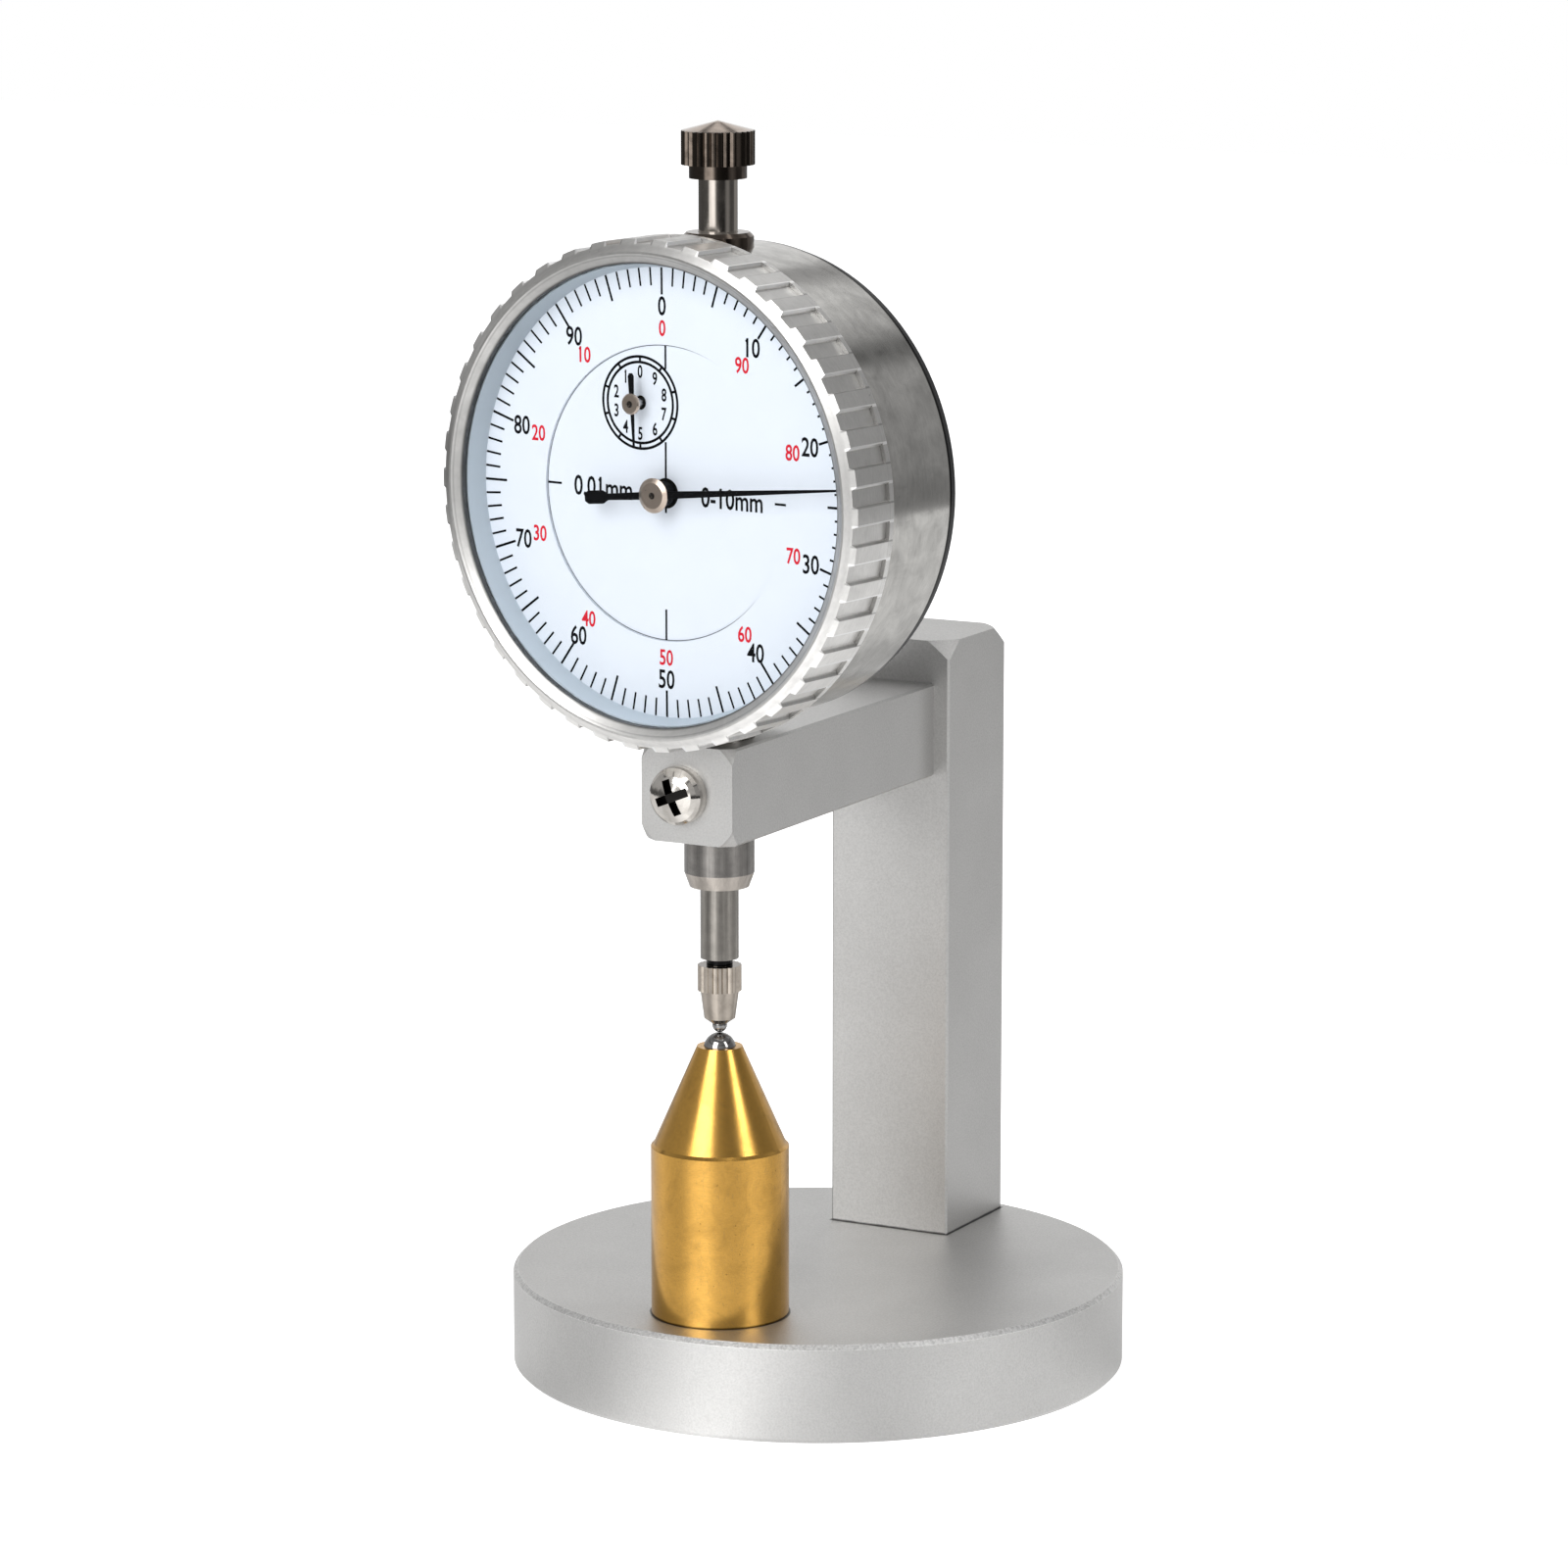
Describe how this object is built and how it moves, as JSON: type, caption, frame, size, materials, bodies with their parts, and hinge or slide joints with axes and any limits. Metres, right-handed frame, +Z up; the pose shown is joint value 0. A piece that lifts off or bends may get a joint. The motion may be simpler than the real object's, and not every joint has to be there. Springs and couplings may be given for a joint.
{
  "type": "lens thickness gauge",
  "caption": "Bench gauge for lens thickness: a toothed-bezel dial indicator with lift knob, held by an arm and post over a ball-tipped brass anvil on a round base.",
  "frame": {"origin": "centre of the base disc's underside", "axes": "+Z up along the post, the arm reaches towards -Y and the dial faces -Y, turned 7.5 degrees on its stem"},
  "size_m": [0.072, 0.078, 0.1478],
  "materials": {
    "stand_aluminium": "fine bead-blasted, clear anodised",
    "anvil_brass": "turned, lightly scratched",
    "hard_steel": "ground and polished",
    "bright_screw": "bright nickel plating",
    "black_screw": "black oxide",
    "case_steel": "polished steel",
    "cover_black": "satin black paint",
    "cover_screw": "plain steel",
    "bezel_silver": "satin plated",
    "stem_steel": "ground steel",
    "spindle_steel": "ground steel",
    "dark_nickel": "black nickel plating",
    "dial_white": "matt white with printed scale",
    "wall_white": "matt white",
    "crystal_clear": "clear acrylic",
    "hand_black": "matt black",
    "movement_brass": "cut brass",
    "arbor_steel": "turned steel"
  },
  "bodies": {
    "stand": {"base_disc": "stand_aluminium", "post": "stand_aluminium", "arm": "stand_aluminium", "anvil_post": "anvil_brass", "anvil_ball": "hard_steel", "post_screw": "black_screw", "anvil_screw": "black_screw", "arm_screw": "black_screw"},
    "clamp": {"clamp_screw": "bright_screw"},
    "gauge": {"case": "case_steel", "back_cover": "cover_black", "cover_screw_1": "cover_screw", "cover_screw_2": "cover_screw", "cover_screw_3": "cover_screw", "cover_screw_4": "cover_screw", "stem": "stem_steel", "top_collar": "dark_nickel", "retaining_ring": "spindle_steel", "front_plate": "movement_brass", "rear_plate": "movement_brass", "pillar_1": "movement_brass", "pillar_2": "movement_brass", "pillar_3": "movement_brass", "pillar_4": "movement_brass", "centre_dial": "dial_white", "counter_cock": "movement_brass", "guide_rail": "movement_brass"},
    "measuring_spindle": {"spindle": "spindle_steel", "contact_holder": "bright_screw", "contact_ball": "hard_steel", "lift_knob": "dark_nickel", "guide_pin": "spindle_steel"},
    "main_pointer": {"centre_arbor": "arbor_steel", "main_hand": "hand_black", "main_hub": "bright_screw"},
    "counter_pointer": {"counter_arbor": "arbor_steel", "counter_wheel": "movement_brass", "counter_hand": "hand_black", "counter_hub": "bright_screw"},
    "takeup": {"takeup_arbor": "arbor_steel", "takeup_wheel": "movement_brass"},
    "turning_bezel": {"bezel": "bezel_silver", "crystal": "crystal_clear", "dial_ring": "dial_white", "dial_wall": "wall_white"}
  },
  "joints": [
    {"name": "spindle_slide", "type": "slide", "parent": "gauge", "child": "measuring_spindle", "axis": [0, 0, 1], "range_m": [0, 0.00477], "stiffness_N_per_m": 30, "springref_m": -0.03},
    {"name": "main_pointer_turn", "type": "hinge", "parent": "gauge", "child": "main_pointer", "pos_m": [-0.00078, -0.03015, 0.1073], "axis": [0.1305, 0.9914, 0], "range_deg": [0, 1720]},
    {"name": "counter_pointer_turn", "type": "hinge", "parent": "gauge", "child": "counter_pointer", "pos_m": [-0.00425, -0.02969, 0.11715], "axis": [0.1305, 0.9914, 0], "range_deg": [-172, 0]},
    {"name": "takeup_turn", "type": "hinge", "parent": "gauge", "child": "takeup", "pos_m": [0.00269, -0.03061, 0.09745], "axis": [0.1305, 0.9914, 0], "range_deg": [-172, 0]},
    {"name": "bezel_turn", "type": "hinge", "parent": "gauge", "child": "turning_bezel", "pos_m": [-0.0013, -0.03411, 0.1073], "axis": [0.1305, 0.9914, 0], "continuous": true},
    {"name": "gauge_swivel", "type": "hinge", "parent": "stand", "child": "gauge", "pos_m": [0, -0.0242, 0.073], "axis": [0, 0, 1], "continuous": true},
    {"name": "clamp_screw_turn", "type": "hinge", "parent": "stand", "child": "clamp", "pos_m": [-0.0008, -0.0318, 0.07305], "axis": [0, -1, 0], "range_deg": [0, 360]}
  ],
  "couplings": [
    {"joint": "main_pointer_turn", "follows": "spindle_slide", "rad_per_m": 6283.2},
    {"joint": "counter_pointer_turn", "follows": "spindle_slide", "rad_per_m": -628.32},
    {"joint": "takeup_turn", "follows": "spindle_slide", "rad_per_m": -628.32}
  ]
}
